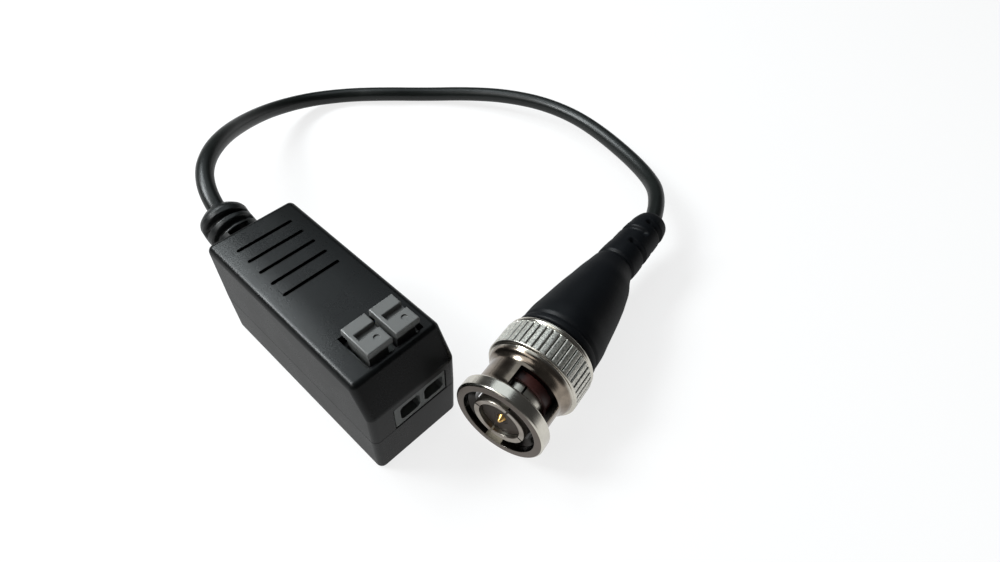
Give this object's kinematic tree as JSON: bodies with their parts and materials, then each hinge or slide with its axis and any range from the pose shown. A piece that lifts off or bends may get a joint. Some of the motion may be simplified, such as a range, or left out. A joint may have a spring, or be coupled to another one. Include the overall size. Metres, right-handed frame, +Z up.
{
  "type": "cctv video balun",
  "caption": "Passive video balun: a small moulded case with a two way push lever wire terminal, and a short coaxial cord that ends in a bayonet plug.",
  "frame": {"origin": "middle of the case's bottom, without the cord, its strain relief and its plug", "axes": "+X towards the terminal end of the case, along its length, +Z up out of the levers"},
  "size_m": [0.0966, 0.0813, 0.0205],
  "materials": {
    "housing": "satin moulded",
    "board": "solder mask",
    "terminal": "satin moulded",
    "lever": "satin moulded",
    "strip": "tinned",
    "spring": "bright",
    "carrier": "moulded",
    "ferrite": "dark sintered",
    "line_wire": "enamelled copper",
    "camera_wire": "enamelled copper",
    "film": "moulded",
    "disc": "dipped",
    "ceramic": "glazed with plated ends",
    "resistor": "coated",
    "solder": "bright",
    "relief": "satin moulded",
    "cord": "satin jacket",
    "core_wire": "bare copper",
    "braid": "tinned braid",
    "nickel": "nickel plated",
    "insulator": "moulded",
    "gold": "gold plated",
    "gasket": "silicone",
    "boot": "matte moulded"
  },
  "bodies": {
    "case": {"top_shell": "housing", "bottom_shell": "housing", "circuit_board": "board", "terminal_block": "terminal", "contact_strip_left": "strip", "contact_strip_right": "strip", "clamp_spring_left": "spring", "clamp_spring_right": "spring", "spring_washer": "spring", "retaining_clip": "spring", "core_carrier": "carrier", "balun_core": "ferrite", "line_winding": "line_wire", "camera_winding": "camera_wire", "film_capacitor": "film", "disc_capacitor": "disc", "surge_arrester": "ceramic", "chip_resistors": "resistor", "solder_joints": "solder", "strain_relief": "relief", "coax_case_end": "cord", "coax_cord": "cord", "coax_plug_end": "cord", "cord_core_wire": "core_wire", "cord_braid_tail": "braid", "crimped_braid": "braid", "outer_contact": "nickel", "connector_body": "nickel", "crimp_ferrule": "nickel", "front_insulator": "insulator", "plug_dielectric": "insulator", "centre_pin": "gold", "face_gasket": "gasket", "plug_boot": "boot"},
    "push_lever_left": {"push_lever_left": "lever"},
    "push_lever_right": {"push_lever_right": "lever"},
    "thrust_washer": {"thrust_washer": "nickel"},
    "coupling_sleeve": {"coupling_sleeve": "nickel"}
  },
  "joints": [
    {"name": "left_lever_press", "type": "slide", "parent": "case", "child": "push_lever_left", "axis": [0, 0, -1], "range_m": [0, 0.0014], "stiffness_N_per_m": 1500, "springref_m": -0.001},
    {"name": "right_lever_press", "type": "slide", "parent": "case", "child": "push_lever_right", "axis": [0, 0, -1], "range_m": [0, 0.0014], "stiffness_N_per_m": 1500, "springref_m": -0.001},
    {"name": "coupling_slide", "type": "slide", "parent": "case", "child": "thrust_washer", "axis": [0.1719, -0.9851, 0], "range_m": [0, 0.0005], "stiffness_N_per_m": 3000, "springref_m": -0.0005},
    {"name": "coupling_turn", "type": "hinge", "parent": "thrust_washer", "child": "coupling_sleeve", "pos_m": [0.02764, 0.00661, 0.00755], "axis": [0.1719, -0.9851, 0], "continuous": true}
  ]
}
